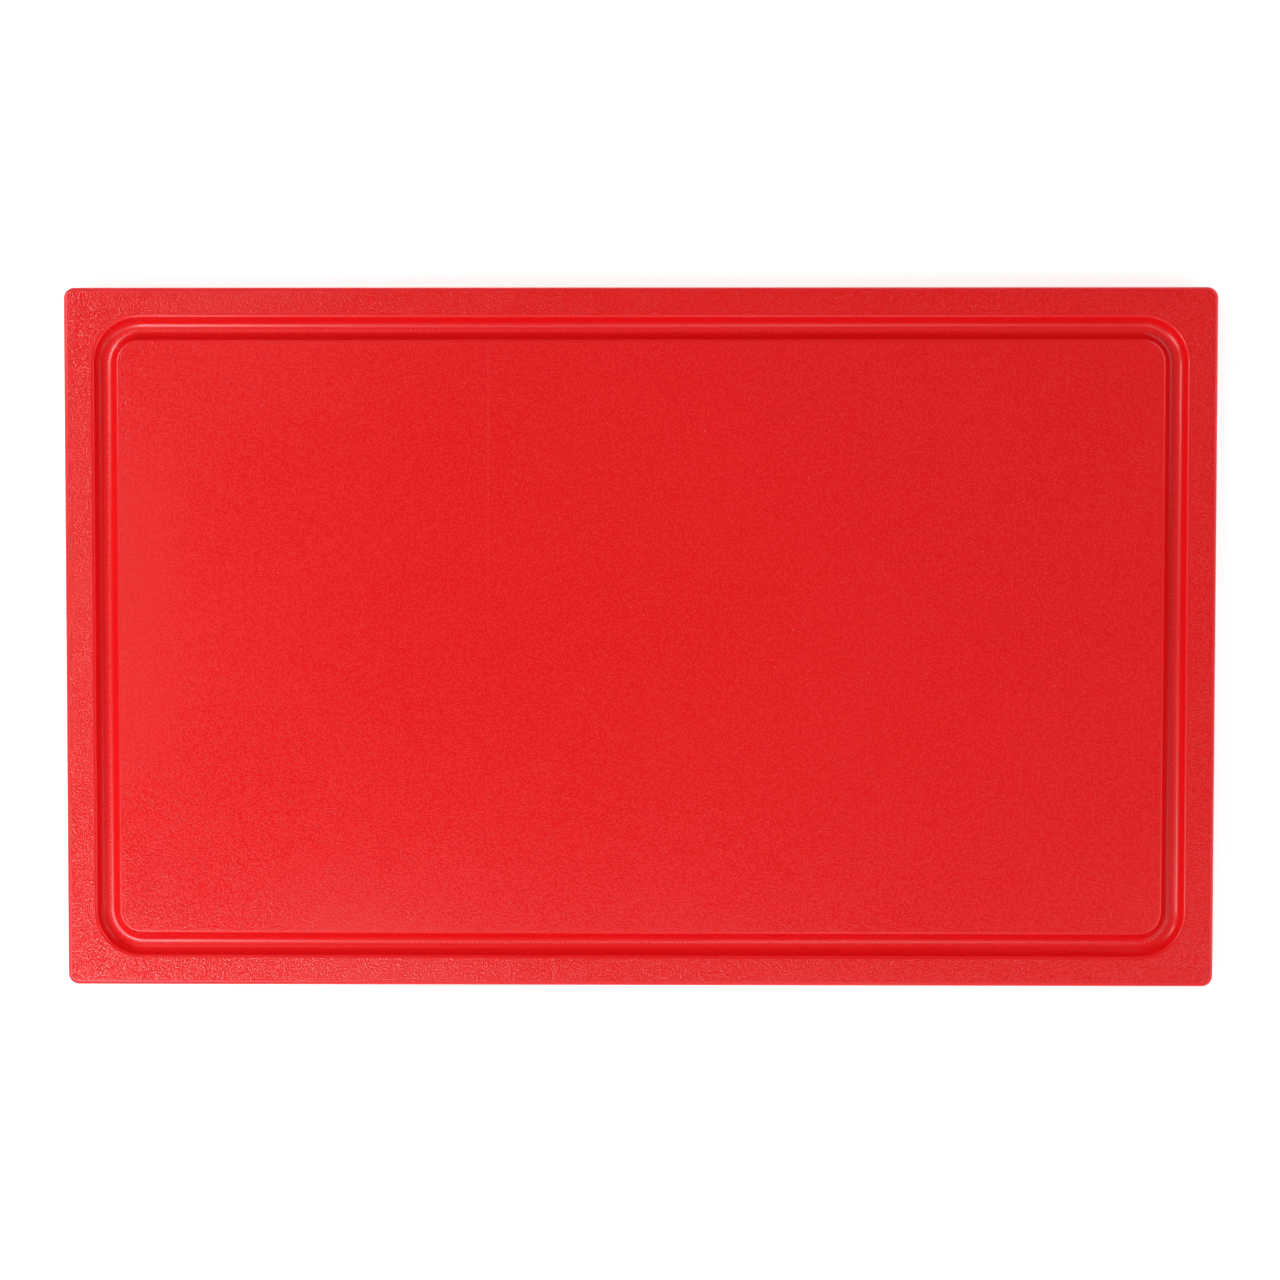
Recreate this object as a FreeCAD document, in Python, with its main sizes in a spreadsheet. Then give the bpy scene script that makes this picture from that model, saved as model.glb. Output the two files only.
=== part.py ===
import FreeCAD, Part
import math
import os
import Sketcher

# A commercial cutting board: one slab of coloured polyethylene with a juice groove routed
# all round its cutting face. Nothing is fitted to it, so it is a single piece.
# +X runs along its length, +Y across it and +Z up out of the cutting face. The origin is the
# middle of the flat underside, and lengths are in millimetres.

SIZES = {
    "board_length": 530.0,
    "board_width": 322.0,
    "board_thickness": 15.0,
    "corner_radius": 5.0,  # the board's own four corners, seen from above
    "edge_radius": 2.0,  # round-over of both faces' outer edges
    "rim_width": 14.0,  # from the board's edge to the groove, before its lips are rounded
    "groove_width": 10.0,  # at the face, also before its lips are rounded
    "groove_depth": 5.0,
    "groove_turn": 15.5,  # radius of the groove's centre line at its corners
    "lip_radius": 1.5,  # round-over where the groove's walls meet the face
}
CENTRE_INSET = "(Sizes.rim_width + Sizes.groove_width / 2)"
# The radius of the arc that is groove_width across at the face and groove_depth deep.
CUTTER_RADIUS = "((Sizes.groove_width / 2) ^ 2 + Sizes.groove_depth ^ 2) / (2 * Sizes.groove_depth)"
CUTTER_HEIGHT = f"(Sizes.board_thickness + {CUTTER_RADIUS} - Sizes.groove_depth)"
TOLERANCE = 1e-4


def make_sheet(doc):
    """The driving dimensions, one named cell each."""
    sheet = doc.addObject("Spreadsheet::Sheet", "Sizes")
    for row, (name, value) in enumerate(SIZES.items(), start=1):
        sheet.set(f"A{row}", name)
        sheet.set(f"B{row}", str(value))
        sheet.setAlias(f"B{row}", name)
    doc.recompute()
    return sheet


def origin_plane(body, role):
    for feature in body.Origin.OriginFeatures:
        if feature.Role == role:
            return feature
    raise RuntimeError(f"the body has no {role}")


def add_sketch(body, name, role):
    sketch = body.newObject("Sketcher::SketchObject", name)
    sketch.AttachmentSupport = [(origin_plane(body, role), "")]
    sketch.MapMode = "FlatFace"
    return sketch


def bind(sketch, constraint, name, expression):
    """Adds a dimension to the sketch and ties it to the sheet."""
    index = sketch.addConstraint(constraint)
    sketch.renameConstraint(index, name)
    sketch.setExpression(f"Constraints.{name}", expression)


def draw_rounded_rectangle(sketch, half_length, half_width, radius):
    """A rounded rectangle centred on the sketch's origin. Its right side is in two halves
    that meet on the X axis, so that a swept section can start there."""
    start_x = SIZES["board_length"] / 2
    start_y = SIZES["board_width"] / 2
    start_r = SIZES["groove_turn"]
    straight_x = start_x - start_r
    straight_y = start_y - start_r
    quarter = math.pi / 2

    def line(x1, y1, x2, y2):
        first = FreeCAD.Vector(x1, y1, 0)
        last = FreeCAD.Vector(x2, y2, 0)
        return sketch.addGeometry(Part.LineSegment(first, last), False)

    def corner(x, y, turn):
        circle = Part.Circle(FreeCAD.Vector(x, y, 0), FreeCAD.Vector(0, 0, 1), start_r)
        arc = Part.ArcOfCircle(circle, turn * quarter, (turn + 1) * quarter)
        return sketch.addGeometry(arc, False)

    loop = [
        line(start_x, 0, start_x, straight_y),
        corner(straight_x, straight_y, 0),
        line(straight_x, start_y, -straight_x, start_y),
        corner(-straight_x, straight_y, 1),
        line(-start_x, straight_y, -start_x, -straight_y),
        corner(-straight_x, -straight_y, 2),
        line(-straight_x, -start_y, straight_x, -start_y),
        corner(straight_x, -straight_y, 3),
        line(start_x, -straight_y, start_x, 0),
    ]
    for this, following in zip(loop[:-1], loop[1:]):
        sketch.addConstraint(Sketcher.Constraint("Tangent", this, 2, following, 1))
    first_half, top, left, bottom, last_half = loop[0::2]
    corners = loop[1::2]
    sketch.addConstraint(Sketcher.Constraint("Coincident", last_half, 2, first_half, 1))
    sketch.addConstraint(Sketcher.Constraint("PointOnObject", first_half, 1, -1))
    for upright in (first_half, left, last_half):
        sketch.addConstraint(Sketcher.Constraint("Vertical", upright))
    for level in (top, bottom):
        sketch.addConstraint(Sketcher.Constraint("Horizontal", level))
    for other in corners[1:]:
        sketch.addConstraint(Sketcher.Constraint("Equal", corners[0], other))
    bind(sketch, Sketcher.Constraint("Radius", corners[0], start_r), "Turn", radius)
    right_of_origin = Sketcher.Constraint("DistanceX", -1, 1, first_half, 1, start_x)
    bind(sketch, right_of_origin, "Right", half_length)
    left_of_origin = Sketcher.Constraint("DistanceX", left, 1, -1, 1, start_x)
    bind(sketch, left_of_origin, "Left", half_length)
    above_origin = Sketcher.Constraint("DistanceY", -1, 1, top, 1, start_y)
    bind(sketch, above_origin, "Above", half_width)
    below_origin = Sketcher.Constraint("DistanceY", bottom, 1, -1, 1, start_y)
    bind(sketch, below_origin, "Below", half_width)


def add_slab(body):
    """The sawn slab with its rounded corners."""
    outline = add_sketch(body, "Outline", "XY_Plane")
    draw_rounded_rectangle(
        outline,
        "Sizes.board_length / 2",
        "Sizes.board_width / 2",
        "Sizes.corner_radius",
    )
    pad = body.newObject("PartDesign::Pad", "Slab")
    pad.Profile = outline
    pad.setExpression("Length", "Sizes.board_thickness")
    return pad


def edges_at(shape, heights):
    """Names of the edges that lie flat at one of these heights."""
    names = []
    for number, edge in enumerate(shape.Edges, start=1):
        box = edge.BoundBox
        if any(abs(box.ZMin - z) < TOLERANCE and abs(box.ZMax - z) < TOLERANCE for z in heights):
            names.append(f"Edge{number}")
    return names


def add_edge_round(body, slab):
    """The round-over that runs round the outside of both faces."""
    rounding = body.newObject("PartDesign::Fillet", "EdgeRound")
    rounding.Base = (slab, edges_at(slab.Shape, [0.0, SIZES["board_thickness"]]))
    rounding.setExpression("Radius", "Sizes.edge_radius")
    return rounding


def add_groove(body):
    """The juice groove: a round-nosed cutter's path all round the face."""
    path = add_sketch(body, "GroovePath", "XY_Plane")
    path.setExpression("AttachmentOffset.Base.z", CUTTER_HEIGHT)
    draw_rounded_rectangle(
        path,
        f"Sizes.board_length / 2 - {CENTRE_INSET}",
        f"Sizes.board_width / 2 - {CENTRE_INSET}",
        "Sizes.groove_turn",
    )
    section = add_sketch(body, "GrooveSection", "XZ_Plane")
    start = FreeCAD.Vector(SIZES["board_length"] / 2, SIZES["board_thickness"], 0)
    circle = Part.Circle(start, FreeCAD.Vector(0, 0, 1), SIZES["groove_depth"])
    disc = section.addGeometry(circle, False)
    across = Sketcher.Constraint("Radius", disc, SIZES["groove_depth"])
    bind(section, across, "Cutter", CUTTER_RADIUS)
    out = Sketcher.Constraint("DistanceX", -1, 1, disc, 3, start.x)
    bind(section, out, "Out", f"Sizes.board_length / 2 - {CENTRE_INSET}")
    up = Sketcher.Constraint("DistanceY", -1, 1, disc, 3, start.y)
    bind(section, up, "Up", CUTTER_HEIGHT)
    groove = body.newObject("PartDesign::SubtractivePipe", "JuiceGroove")
    groove.Profile = section
    groove.Spine = path
    return groove


def lip_edges(groove):
    """Names of the groove's edges in the cutting face, which lie inside the round-over."""
    reach = SIZES["board_length"] / 2 - SIZES["edge_radius"] - TOLERANCE
    breadth = SIZES["board_width"] / 2 - SIZES["edge_radius"] - TOLERANCE
    names = []
    for name in edges_at(groove.Shape, [SIZES["board_thickness"]]):
        box = groove.Shape.getElement(name).BoundBox
        inside_x = max(abs(box.XMin), abs(box.XMax)) < reach
        inside_y = max(abs(box.YMin), abs(box.YMax)) < breadth
        if inside_x and inside_y:
            names.append(name)
    return names


def add_lips(body, groove):
    """The groove's rounded edges, which leave no burr to catch a knife or a cloth."""
    lips = body.newObject("PartDesign::Fillet", "GrooveLips")
    lips.Base = (groove, lip_edges(groove))
    lips.setExpression("Radius", "Sizes.lip_radius")
    return lips


def make_board(doc):
    body = doc.addObject("PartDesign::Body", "board")
    body.Label = "board"
    slab = add_slab(body)
    doc.recompute()
    rounding = add_edge_round(body, slab)
    doc.recompute()
    groove = add_groove(body)
    doc.recompute()
    lips = add_lips(body, groove)
    doc.recompute()
    steps = [slab, rounding, groove, lips]
    for earlier, later in zip(steps[:-1], steps[1:]):
        if not later.Shape.Volume < earlier.Shape.Volume - 1:
            raise RuntimeError(f"{later.Name} took nothing off {earlier.Name}")
    return body


def check(doc, bodies):
    for item in doc.Objects:
        if "Invalid" in item.State or "Error" in item.State:
            raise RuntimeError(f"{item.Name} failed: {item.State}")
    for body in bodies:
        if body.Shape.isNull() or not body.Shape.isValid():
            raise RuntimeError(f"{body.Label} has no valid shape")
        if len(body.Shape.Solids) != 1:
            raise RuntimeError(f"{body.Label} isn't one solid")


def main():
    doc = FreeCAD.newDocument("CuttingBoard")
    make_sheet(doc)
    bodies = [make_board(doc)]
    check(doc, bodies)
    os.makedirs("parts", exist_ok=True)
    for body in bodies:
        body.Shape.exportStep(f"parts/{body.Label}.step")
        box = body.Shape.optimalBoundingBox()
        size = f"{box.XLength:.2f} x {box.YLength:.2f} x {box.ZLength:.2f} mm"
        print(body.Label, size, f"{body.Shape.Volume / 1000:.1f} cm3")


main()
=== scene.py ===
import math

import bmesh
import bpy
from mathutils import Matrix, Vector


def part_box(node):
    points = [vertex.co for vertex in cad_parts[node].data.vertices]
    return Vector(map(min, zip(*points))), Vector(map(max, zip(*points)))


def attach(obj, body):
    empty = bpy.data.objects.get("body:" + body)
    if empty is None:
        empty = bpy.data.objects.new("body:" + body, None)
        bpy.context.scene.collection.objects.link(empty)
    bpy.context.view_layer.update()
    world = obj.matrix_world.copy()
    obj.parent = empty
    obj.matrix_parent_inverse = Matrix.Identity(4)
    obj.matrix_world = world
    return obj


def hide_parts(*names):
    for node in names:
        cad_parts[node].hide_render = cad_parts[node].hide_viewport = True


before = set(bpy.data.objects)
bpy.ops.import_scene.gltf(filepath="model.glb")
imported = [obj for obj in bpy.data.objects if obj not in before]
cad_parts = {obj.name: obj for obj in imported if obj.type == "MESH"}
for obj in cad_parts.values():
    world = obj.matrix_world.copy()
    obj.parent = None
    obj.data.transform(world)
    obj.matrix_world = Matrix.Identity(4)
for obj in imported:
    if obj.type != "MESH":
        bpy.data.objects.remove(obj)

# A red polyethylene cutting board: a sawn slab with rounded edges, pressed grain on both faces
# and a juice groove routed all round the cutting face. Everything is in metres.

MM = 0.001

# The board's own sizes, beside its length, width and thickness, which the frame gives.
CORNER_RADIUS = 5 * MM
EDGE_RADIUS = 2 * MM
RIM = 14 * MM
GROOVE_WIDTH = 10 * MM
GROOVE_DEPTH = 5 * MM
GROOVE_TURN = 15.5 * MM  # radius of the groove's centre line at its corners
LIP_RADIUS = 1.5 * MM  # the rounded edges of the groove

# How finely the mesh follows the curves.
CORNER_STEPS = 20
EDGE_STEPS = 8
LIP_STEPS = 8
GROOVE_STEPS = 24
STRIP = 6 * MM  # spacing of the cuts that divide the long straight faces
CLOSE = 1e-6  # places nearer than this are the same place
LARGE = 0.01  # square metres: only the slab's two faces are larger
FLAT = 0.999  # a level face's normal is at least this upright

CUTTER_RADIUS = ((GROOVE_WIDTH / 2) ** 2 + GROOVE_DEPTH**2) / (2 * GROOVE_DEPTH)
GROOVE_INSET = RIM + GROOVE_WIDTH / 2


def all_parts(mesh):
    return (*mesh.faces, *mesh.edges, *mesh.verts)


def pick(board, kind, wanted):
    """In edit mode, selects only the edges or faces that pass the test."""
    bpy.ops.mesh.select_mode(type="FACE" if kind == "faces" else "EDGE")
    mesh = bmesh.from_edit_mesh(board.data)
    for part in all_parts(mesh):
        part.select = False
    for part in getattr(mesh, kind):
        if wanted(part):
            part.select_set(True)
    bmesh.update_edit_mesh(board.data)


def level(edge, height):
    return all(abs(v.co.z - height) < CLOSE for v in edge.verts)


def upright(edge):
    a, b = (v.co for v in edge.verts)
    return (a - b).xy.length < CLOSE


def saw_slab(low, high):
    """The slab cut from the sheet, its corners rounded and both faces' edges eased."""
    bpy.ops.object.select_all(action="DESELECT")
    bpy.ops.mesh.primitive_cube_add(size=1, location=(low + high) / 2, scale=high - low)
    board = bpy.context.active_object
    board.name = board.data.name = "cutting_board"
    bpy.ops.object.transform_apply(location=True, rotation=True, scale=True)
    bpy.ops.object.mode_set(mode="EDIT")
    pick(board, "edges", upright)
    bpy.ops.mesh.bevel(
        offset=CORNER_RADIUS, segments=CORNER_STEPS, affect="EDGES", clamp_overlap=False
    )
    pick(board, "edges", lambda edge: level(edge, low.z) or level(edge, high.z))
    bpy.ops.mesh.bevel(
        offset=EDGE_RADIUS, segments=EDGE_STEPS, affect="EDGES", clamp_overlap=False
    )
    return board


def groove_section():
    """The groove's section, from the rim to the field: (distance in from the edge, drop)."""
    centre_drop = GROOVE_DEPTH - CUTTER_RADIUS  # below the face, so it is negative
    reach = CUTTER_RADIUS + LIP_RADIUS
    lip_across = math.sqrt(reach**2 - (LIP_RADIUS - centre_drop) ** 2)
    lip_turn = math.atan2(lip_across, LIP_RADIUS - centre_drop)
    points = []
    for step in range(LIP_STEPS + 1):
        turn = lip_turn * step / LIP_STEPS
        across = -lip_across + LIP_RADIUS * math.sin(turn)
        points.append((across, LIP_RADIUS - LIP_RADIUS * math.cos(turn)))
    for step in range(1, GROOVE_STEPS):
        turn = lip_turn * (2 * step / GROOVE_STEPS - 1)
        across = CUTTER_RADIUS * math.sin(turn)
        points.append((across, centre_drop + CUTTER_RADIUS * math.cos(turn)))
    other_lip = [(-across, drop) for across, drop in reversed(points[: LIP_STEPS + 1])]
    return [(GROOVE_INSET + across, drop) for across, drop in points + other_lip]


def rout_groove(board, low, high):
    """Opens the cutting face, draws the groove's outline in it and steps down and up again."""
    section = groove_section()
    inset, _ = section[0]
    turn = GROOVE_TURN + GROOVE_INSET - inset
    pick(board, "faces", lambda face: face.normal.z > FLAT and face.calc_area() > LARGE)
    bpy.ops.mesh.delete(type="FACE")
    bpy.ops.mesh.select_mode(type="VERT")
    size = high - low - Vector((2 * inset, 2 * inset, 0))
    middle = Vector(((low.x + high.x) / 2, (low.y + high.y) / 2, high.z))
    bpy.ops.mesh.primitive_plane_add(size=1, location=middle)
    bpy.ops.transform.resize(value=(size.x, size.y, 1), center_override=middle)
    bpy.ops.mesh.bevel(
        offset=turn, segments=CORNER_STEPS, affect="VERTICES", clamp_overlap=False
    )

    def is_opening(face):
        return len(face.verts) > 4 and face.calc_center_median().z > high.z - CLOSE

    pick(board, "faces", is_opening)
    for (before, drop_before), (after, drop_after) in zip(section[:-1], section[1:]):
        bpy.ops.mesh.inset(thickness=after - before, depth=drop_before - drop_after)
    pick(board, "edges", lambda edge: edge.is_boundary)
    bpy.ops.mesh.bridge_edge_loops()


def cut_strips(board, low, high):
    """Cuts the long straight faces across, so that no face is long and thin."""
    straight = GROOVE_INSET + GROOVE_TURN
    for axis in (0, 1):
        first, last = low[axis] + straight, high[axis] - straight
        count = round((last - first) / STRIP)
        direction = [0, 0, 0]
        direction[axis] = 1
        for step in range(count + 1):
            place = [0, 0, 0]
            place[axis] = first + (last - first) * step / count
            bpy.ops.mesh.select_all(action="SELECT")
            bpy.ops.mesh.bisect(plane_co=place, plane_no=direction)


def smooth_all(board):
    """Smooth shading that keeps the flat faces flat, by weighing each face by its area."""
    bpy.ops.object.mode_set(mode="OBJECT")
    bpy.ops.object.shade_smooth()
    weighted = board.modifiers.new("flat faces stay flat", "WEIGHTED_NORMAL")
    weighted.weight = 100
    bpy.ops.object.modifier_apply(modifier=weighted.name)


class Value:
    """An output in a node tree. Arithmetic on it adds Math nodes to that tree."""

    def __init__(self, nodes, socket):
        self.nodes = nodes
        self.socket = socket

    def other(self, name):
        """Another output of the same node."""
        return Value(self.nodes, self.socket.node.outputs[name])

    def maths(self, operation, *values):
        settings = {"operation": operation}
        return self.nodes.node("ShaderNodeMath", settings, dict(enumerate(values)))

    def __add__(self, more):
        return self.maths("ADD", self, more)

    def __sub__(self, less):
        return self.maths("SUBTRACT", self, less)

    def __rsub__(self, start):
        return self.maths("SUBTRACT", start, self)

    def __mul__(self, times):
        return self.maths("MULTIPLY", self, times)

    def __truediv__(self, parts):
        return self.maths("DIVIDE", self, parts)

    def __abs__(self):
        return self.maths("ABSOLUTE", self)

    __radd__ = __add__
    __rmul__ = __mul__

    def at_least(self, floor):
        return self.maths("MAXIMUM", self, floor)

    def at_most(self, ceiling):
        return self.maths("MINIMUM", self, ceiling)

    def sine(self):
        return self.maths("SINE", self)

    def angle_to(self, across):
        return self.maths("ARCTAN2", self, across)

    def length_with(self, other):
        return self.maths("SQRT", self * self + other * other)

    def ramp(self, start, end):
        """0 where this is at start, 1 where it is at end, and smooth between.
        Start may be the larger."""
        settings = {"interpolation_type": "SMOOTHSTEP"}
        values = {"Value": self, "From Min": start, "From Max": end}
        return self.nodes.node("ShaderNodeMapRange", settings, values)


class Nodes:
    """A node tree that is being wired up."""

    def __init__(self, tree):
        self.tree = tree

    def node(self, kind, settings=None, values=None, output=0):
        """Adds a node: its settings first, then its sockets' values or links."""
        made = self.tree.nodes.new(kind)
        for name, setting in (settings or {}).items():
            setattr(made, name, setting)
        for name, value in (values or {}).items():
            self.feed(made.inputs[name], value)
        return Value(self, made.outputs[output])

    def feed(self, socket, value):
        if isinstance(value, Value):
            self.tree.links.new(value.socket, socket)
        else:
            socket.default_value = value

    def blend(self, share, first, second):
        """The first colour where share is 0 and the second where it is 1."""
        values = {0: share, 6: first, 7: second}
        return self.node("ShaderNodeMix", {"data_type": "RGBA"}, values, output=2)


class Finish(Nodes):
    """A material for one kind of surface."""

    def __init__(self, name):
        self.material = bpy.data.materials.new(name)
        self.material.use_nodes = True
        super().__init__(self.material.node_tree)
        self.place = self.node("ShaderNodeTexCoord", output="Object")
        self.along = self.node("ShaderNodeSeparateXYZ", values={0: self.place})
        self.across = self.along.other("Y")
        self.up = self.along.other("Z")

    def set(self, **values):
        """Sets or links the plastic's own sockets, named with _ for a space."""
        plastic = self.tree.nodes["Principled BSDF"]
        for name, value in values.items():
            self.feed(plastic.inputs[name.replace("_", " ")], value)

    def noise(self, size, detail, distortion=0.0, place=None):
        """Noise whose lumps are about this many metres across, from 0 to 1."""
        values = {
            "Vector": place or self.place,
            "Scale": 1 / size,
            "Detail": detail,
            "Distortion": distortion,
        }
        return self.node("ShaderNodeTexNoise", {}, values)

    def bump(self, height, depth):
        """A Bump node: height from 0 to 1 stands for a relief of depth metres."""
        values = {"Height": height, "Distance": depth, "Strength": 1.0}
        return self.node("ShaderNodeBump", {}, values)


PIGMENT = (0.85, 0.0030, 0.006, 1)
PIGMENT_PALE = (0.86, 0.0055, 0.0085, 1)
PIGMENT_RAISED_GLINT = (0.87, 0.0155, 0.016, 1)  # the tops of the grain, paler: a painted highlight of their glints
RUBBED_AND_GLINT = (0.87, 0.14, 0.16, 1)  # where the plastic is whitened by a tool or a knock; along the groove's left stretch also a painted highlight

# The pressed faces.
GRAIN_PITCH = 0.8 * MM
GRAIN_FINE = 0.5 * MM
GRAIN_DEPTH = 0.075 * MM
GRAIN_WORN = 0.67  # how much of its depth is gone inside the groove
# Off the groove's centre line, inwards and outwards: the grain is worn at the first and whole
# at the other.
WORN_BETWEEN = (-6 * MM, 6 * MM)
TOP_BETWEEN = (8 * MM, 12 * MM)  # below the first is the underside, above the other the top
CLOUD_SIZE = 70 * MM
JOINT_X = -69.6 * MM  # the line where two press plates met
JOINT_FADE = (0.7 * MM, 0.1 * MM)  # half its width, where it begins and where it is full
JOINT_ALONG = (-40 * MM, 60 * MM)  # where it ends, towards the front, and where it is full
SPECK_SPACING = 1.4 * MM
# Chips pressed into the plastic: place on the board and size, in millimetres.
CHIPS = ((30, 95, 0.7), (-4, 14, 0.6), (-153.5, 122, 0.6), (260, -143, 0.8), (-251, -133, 0.7))
# Paler, rougher patches: a streak right of the middle, and a painted reflection at the front
# left.
# Place, half the size each way in millimetres, and strength.
PATCHES = ((78, -6, 14, 62, 0.5), (-200, -84, 30, 22, 0.3))

# The routed groove.
TOOTH_PITCH = 1.1 * MM  # the cutter's ripples along it
TOOTH_WANDER = 9 * MM  # over this distance the ripples drift
ROUTED_FINE = 0.7 * MM
ROUTED_DEPTH = 0.012 * MM
RUBBED_GRAIN = 1.0 * MM
RUBBED_FADE = (0.5 * MM, 0.15 * MM)  # off the centre line, where it begins and where it is full
LEFT_GLINT_BETWEEN = (-225 * MM, -240 * MM)  # between these the painted highlight on the groove's centre line grows, into the left stretch
CUT_IN = (-242, 134.5)  # where the cutter went in and came out, in millimetres
CUT_IN_SIZE = 3.4  # also in millimetres
CUT_FADE = (0.45 * MM, 0.1 * MM)  # half the width of the mark it left one way
CUT_BACK_FADE = (0.4 * MM, 0.1 * MM)  # and of the one across it

# The planed edges.
PLANED_LINES = 0.35 * MM
DRAWN_OUT = (0.03, 0.03, 1)  # the lines' shrinkage each way, so that they run along the edge
PLANED_FINE = 0.9 * MM
PLANED_CHIPS = 2.2 * MM
PLANED_CLOUD = 30 * MM
PLANED_DEPTH = 0.015 * MM


class BoardFinish(Finish):
    """A finish that knows where the groove runs."""

    def __init__(self, name, high):
        super().__init__(name)
        reach = GROOVE_INSET + GROOVE_TURN
        self.side_x, self.side_y = abs(self.along), abs(self.across)
        past_x = (self.side_x - (high.x - reach)).at_least(0)
        past_y = (self.side_y - (high.y - reach)).at_least(0)
        # How far a point is outside the groove's centre line, and how far along that line.
        self.outside = past_x.length_with(past_y) - GROOVE_TURN
        turned = past_y.angle_to(past_x) * GROOVE_TURN
        up_side = self.side_y.at_most(high.y - reach)
        along_end = self.side_x.at_most(high.x - reach)
        self.travel = up_side + turned - along_end

    def spot(self, x, y, wide, deep=None):
        """1 in the middle of an oval on the board, falling to 0 at its rim. In millimetres."""
        across = (self.along - x * MM) / (wide * MM)
        down = (self.across - y * MM) / ((deep or wide) * MM)
        return across.length_with(down).ramp(1, 0)


def pressed_grain(high):
    """The faces: a fine worm-like relief pressed into the sheet, worn down inside the groove."""
    finish = BoardFinish("pressed grain", high)
    on_top = finish.up.ramp(*TOP_BETWEEN)
    worms = finish.noise(GRAIN_PITCH, detail=0.0, distortion=0.5).ramp(0.36, 0.64)
    fine = finish.noise(GRAIN_FINE, detail=1.0)
    rim = finish.outside.ramp(*WORN_BETWEEN)
    strength = 1 - (1 - rim) * on_top * GRAIN_WORN
    relief = (worms + 0.06 * fine) * strength

    # The line left between the press plates, fading towards the front.
    joint = abs(finish.along - JOINT_X).ramp(*JOINT_FADE)
    joint = joint * finish.across.ramp(*JOINT_ALONG)
    # Broad clouds all over, a paler streak right of the middle, and a painted reflection at the
    # front left.
    cloud = finish.noise(CLOUD_SIZE, detail=3).ramp(0.35, 0.75)
    patch = sum(finish.spot(x, y, wide, deep) * share for x, y, wide, deep, share in PATCHES)
    # Fine dust, and a few larger chips.
    specks = finish.noise(SPECK_SPACING, detail=0).ramp(0.87, 0.89)
    for x, y, size in CHIPS:
        specks = specks.at_least(finish.spot(x, y, size))
    # Paler where the clouds, the streak and the painted reflection lie.
    paling_and_reflection = (cloud * 0.6 + patch).at_most(1)
    colour = finish.blend(paling_and_reflection, PIGMENT, PIGMENT_PALE)
    # Painted highlight: the grain's tops are made paler to stand for their glints.
    tops = (worms * 0.7 + fine * 0.3).ramp(0.35, 0.9)
    colour = finish.blend(tops, colour, PIGMENT_RAISED_GLINT)
    colour = finish.blend((joint * 0.06 + specks * 0.55) * on_top, colour, RUBBED_AND_GLINT)
    roughness = 0.12 + tops * 0.11 + cloud * 0.03 + patch * 0.05
    finish.set(Base_Color=colour, Roughness=roughness, Normal=finish.bump(relief, GRAIN_DEPTH))
    return finish.material


def routed(high):
    """The groove: smooth, rippled by the cutter's teeth and rubbed dull under its centre, with a
    painted highlight along that line on the left stretch.
    """
    finish = BoardFinish("routed", high)
    wander = finish.noise(TOOTH_WANDER, detail=2)
    teeth = (finish.travel * (math.tau / TOOTH_PITCH) + wander * 14).sine() * 0.5 + 0.5
    fine = finish.noise(ROUTED_FINE, detail=2)
    rubbed = abs(finish.outside).ramp(*RUBBED_FADE)
    rubbed = rubbed * finish.noise(RUBBED_GRAIN, detail=1).ramp(0.46, 0.62)
    left_glint = finish.along.ramp(*LEFT_GLINT_BETWEEN)
    # A pale cross where the cutter went in and came out, at the far left corner.
    x, y = CUT_IN
    in_x = finish.along - x * MM
    in_y = finish.across - y * MM
    near = finish.spot(x, y, CUT_IN_SIZE)
    one_way = abs(in_x + in_y).ramp(*CUT_FADE)
    other_way = abs(in_x - in_y * 0.7).ramp(*CUT_BACK_FADE)
    cross = one_way.at_least(other_way)
    # Paler under the centre line, more so on the left stretch, where the extra is a painted
    # highlight of the left lamps' glint.
    pale = (rubbed * (0.14 + left_glint * 0.16)).at_least(cross * near * 0.5)
    colour = finish.blend(pale, PIGMENT_PALE, RUBBED_AND_GLINT)
    relief = teeth * 0.25 * wander.ramp(0.3, 0.7) + fine * 0.5 + rubbed * 0.5
    roughness = 0.25 + rubbed * 0.08 + fine * 0.03
    finish.set(Base_Color=colour, Roughness=roughness, Normal=finish.bump(relief, ROUTED_DEPTH))
    return finish.material


def planed(high):
    """The edges: planed, with faint lines along them."""
    finish = BoardFinish("planed", high)
    values = {0: finish.place, 1: DRAWN_OUT}
    drawn_out = finish.node("ShaderNodeVectorMath", {"operation": "MULTIPLY"}, values)
    lines = finish.noise(PLANED_LINES, detail=2, place=drawn_out)
    fine = finish.noise(PLANED_FINE, detail=2)
    chips = finish.noise(PLANED_CHIPS, detail=2).ramp(0.74, 0.80)
    cloud = finish.noise(PLANED_CLOUD, detail=3).ramp(0.35, 0.7)
    colour = finish.blend(cloud * 0.05 + 0.03, PIGMENT_PALE, RUBBED_AND_GLINT)
    colour = finish.blend(chips * 0.35, colour, RUBBED_AND_GLINT)
    relief = lines * 0.6 + fine * 0.4
    roughness = 0.28 + lines * 0.10
    finish.set(Base_Color=colour, Roughness=roughness, Normal=finish.bump(relief, PLANED_DEPTH))
    return finish.material


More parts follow.
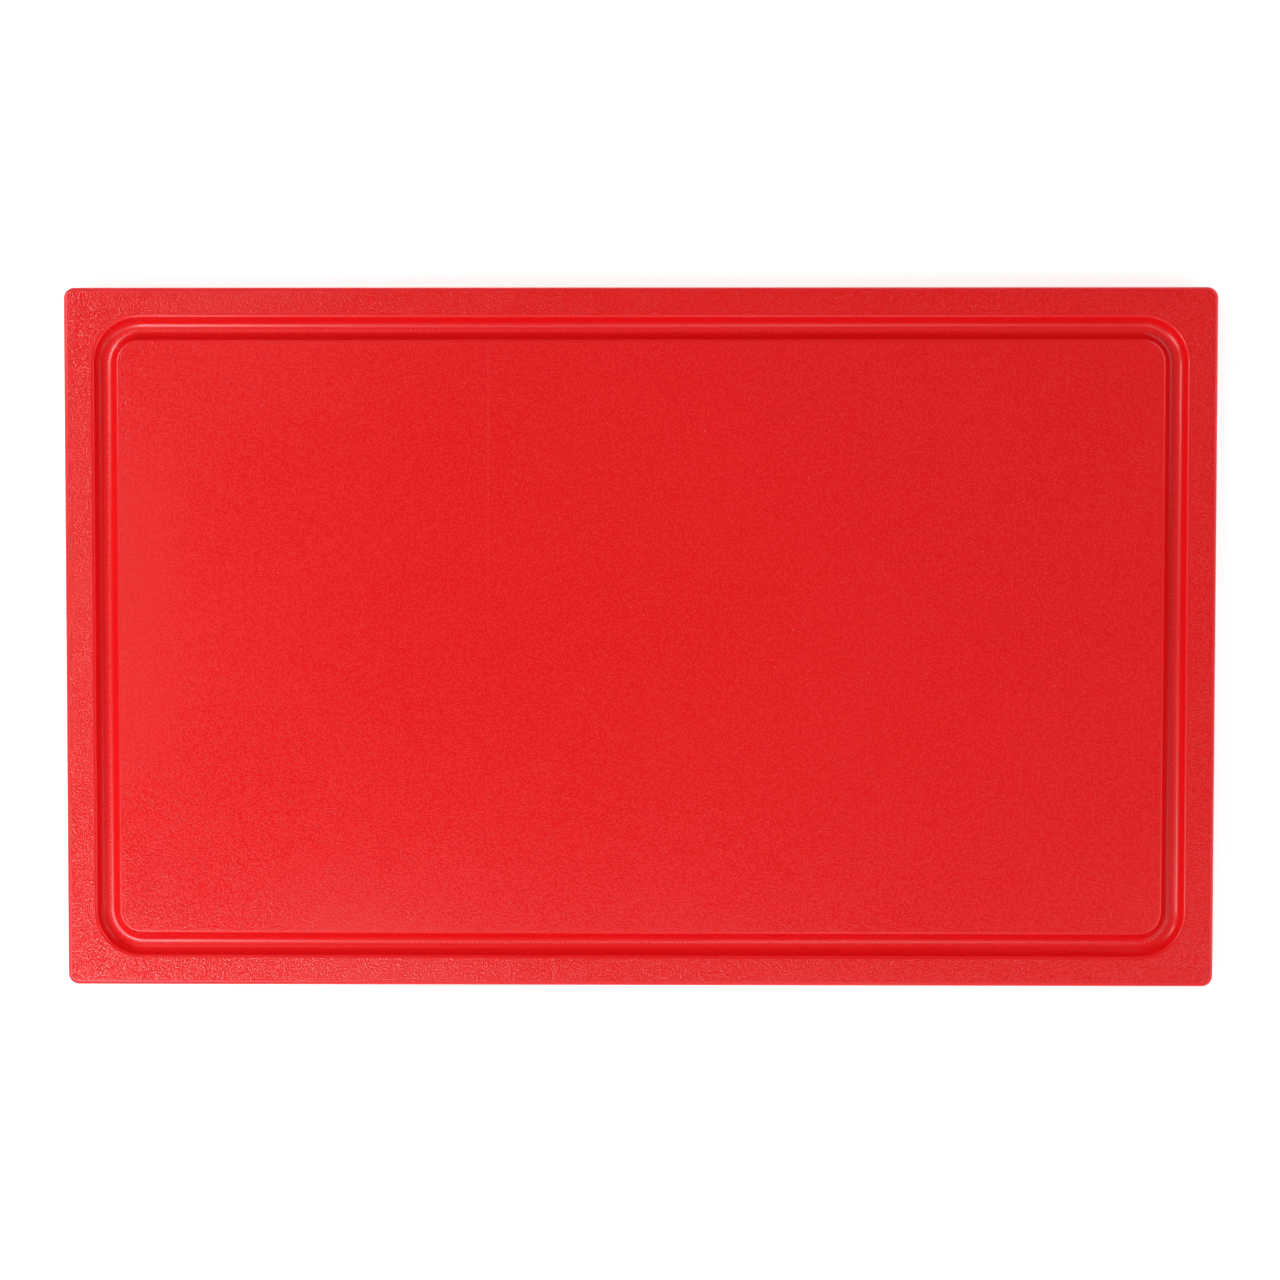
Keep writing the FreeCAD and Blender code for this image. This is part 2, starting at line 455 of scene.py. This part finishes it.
def give_finishes(board, low, high):
    """Pressed grain all over, then the routed groove and the planed edges."""
    for material in (pressed_grain(high), routed(high), planed(high)):
        board.data.materials.append(material)
    lip, _ = groove_section()[0]
    field = RIM + GROOVE_WIDTH + (RIM - lip)

    def inward(face):
        middle = face.calc_center_median()
        return min(high.x - abs(middle.x), high.y - abs(middle.y))

    def in_groove(face):
        turn = GROOVE_TURN + GROOVE_INSET
        middle = face.calc_center_median()
        x = max(abs(middle.x) - (high.x - turn), 0)
        y = max(abs(middle.y) - (high.y - turn), 0)
        depth = turn - math.hypot(x, y) if x and y else inward(face)
        return middle.z > (low.z + high.z) / 2 and lip < depth < field

    def is_edge(face):
        return abs(face.normal.z) <= FLAT and not in_groove(face)

    bpy.ops.object.mode_set(mode="EDIT")
    for slot, wanted in ((1, in_groove), (2, is_edge)):
        pick(board, "faces", wanted)
        board.active_material_index = slot
        bpy.ops.object.material_slot_assign()
    bpy.ops.object.mode_set(mode="OBJECT")


def make_board():
    low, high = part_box("board")
    board = saw_slab(low, high)
    rout_groove(board, low, high)
    cut_strips(board, low, high)
    bpy.ops.object.mode_set(mode="OBJECT")
    give_finishes(board, low, high)
    smooth_all(board)
    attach(board, "root")
    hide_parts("board")


# The sheet under the board is lit from below, and more so beyond the lamps' reach.
PAPER = (0.9, 0.9, 0.9, 1)
FLOOR_SIZE = 60  # it reaches the horizon
GLOW_NEAR = (0.55, 0.55, 0.55, 1)
GLOW_FAR = (0.95, 0.95, 0.95, 1)
GLOW_BETWEEN = (0.6, 2.0)  # metres from the middle


def lay_floor():
    bpy.ops.object.select_all(action="DESELECT")
    bpy.ops.mesh.primitive_plane_add(size=FLOOR_SIZE, location=(0, 0, 0))
    floor = bpy.context.active_object
    floor.name = "floor"
    paper = Finish("pale floor")
    paper.set(Base_Color=PAPER, Roughness=1.0, Specular_IOR_Level=0.0)
    distance = paper.along.length_with(paper.across)
    glow = paper.blend(distance.ramp(*GLOW_BETWEEN), GLOW_NEAR, GLOW_FAR)
    paper.set(Emission_Color=glow, Emission_Strength=1.0)
    floor.data.materials.append(paper.material)


WHITE = (1, 1, 1)
WARM = (1, 0.98, 0.94)
COOL = (0.97, 0.95, 1)
# Name, direction round the board, height of the lamp in degrees, power, width and colour.
LAMPS = (
    ("low, behind on the right", 120, 21, 3.9, 0.9, WHITE),
    ("low, in front on the right", 60, 21, 2.7, 0.9, WHITE),
    ("low, behind on the left", 240, 21, 0.4, 0.9, WHITE),
    ("low, in front", 0, 21, 0.9, 0.9, WHITE),
    ("behind on the left", 245, 42, 3.6, 0.3, WARM),
    ("left", 297, 43, 3.0, 0.3, WARM),
    ("in front, left of the middle", 317, 48, 3.8, 0.25, COOL),
    ("in front, right of the middle", 22, 52, 0.9, 0.35, COOL),
    ("high, in front", 5, 61, 0.65, 0.35, COOL),
    ("high, in front on the left", 332, 62, 0.5, 0.35, COOL),
    ("right", 75, 40, 0.15, 0.35, WHITE),
    ("high, behind on the left", 215, 58, 0.3, 0.35, WARM),
    ("high, on the left", 270, 58, 0.25, 0.35, WARM),
    ("small one, high in front on the right", 57, 50, 0.4, 0.10, COOL),
)
LAMP_DISTANCE = 1.3
HORIZON = (1.1, 1.1, 1.1, 1)
WALLS = (0.9, 0.9, 0.9, 1)
UPPER_WALLS = (0.05, 0.05, 0.05, 1)
CEILING = (0.25, 0.25, 0.235, 1)
# How far up each begins and is full: 0 is the horizon and 1 is straight up.
HORIZON_FROM = (0.20, 0.02)
WALLS_FROM = (0.40, 0.20)
CEILING_FROM = (0.75, 0.95)


def softbox(name, azimuth, elevation, power, width, colour):
    """A square lamp that faces the board. Azimuth 0 is in front of it and 90 to its right."""
    turn, rise = math.radians(azimuth), math.radians(elevation)
    level = math.cos(rise)
    outward = Vector((math.sin(turn) * level, -math.cos(turn) * level, math.sin(rise)))
    lamp = bpy.data.lights.new(name, "AREA")
    lamp.shape = "SQUARE"
    lamp.size = width
    lamp.energy = power
    lamp.color = colour
    holder = bpy.data.objects.new(name, lamp)
    holder.location = outward * LAMP_DISTANCE
    holder.rotation_euler = outward.to_track_quat("Z", "Y").to_euler()
    bpy.context.collection.objects.link(holder)


def light_studio():
    """A tent with pale walls and a dimmer top, and softboxes outside it."""
    for name, azimuth, elevation, power, width, colour in LAMPS:
        softbox(name, azimuth, elevation, power, width, colour)
    world = bpy.data.worlds.new("studio")
    world.use_nodes = True
    tent = Nodes(world.node_tree)
    direction = tent.node("ShaderNodeTexCoord", output="Generated")
    up = tent.node("ShaderNodeSeparateXYZ", values={0: direction}, output="Z")
    colour = tent.blend(up.ramp(*WALLS_FROM), UPPER_WALLS, WALLS)
    colour = tent.blend(up.ramp(*CEILING_FROM), colour, CEILING)
    colour = tent.blend(up.ramp(*HORIZON_FROM), colour, HORIZON)
    tent.feed(world.node_tree.nodes["Background"].inputs["Color"], colour)
    bpy.context.scene.world = world
    bpy.context.scene.view_settings.view_transform = "Standard"


CAMERA_PLACE = (6.3 * MM, 20 * MM, 833 * MM)
CAMERA_TILT = (-1.463, 0.424, 0.043)  # in degrees from looking straight down
CAMERA_LENS = 50


def set_camera():
    camera = bpy.data.objects.new("camera", bpy.data.cameras.new("camera"))
    bpy.context.collection.objects.link(camera)
    camera.location = CAMERA_PLACE
    camera.rotation_euler = [math.radians(angle) for angle in CAMERA_TILT]
    camera.data.lens = CAMERA_LENS
    bpy.context.scene.camera = camera


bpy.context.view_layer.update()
make_board()
lay_floor()
light_studio()
set_camera()
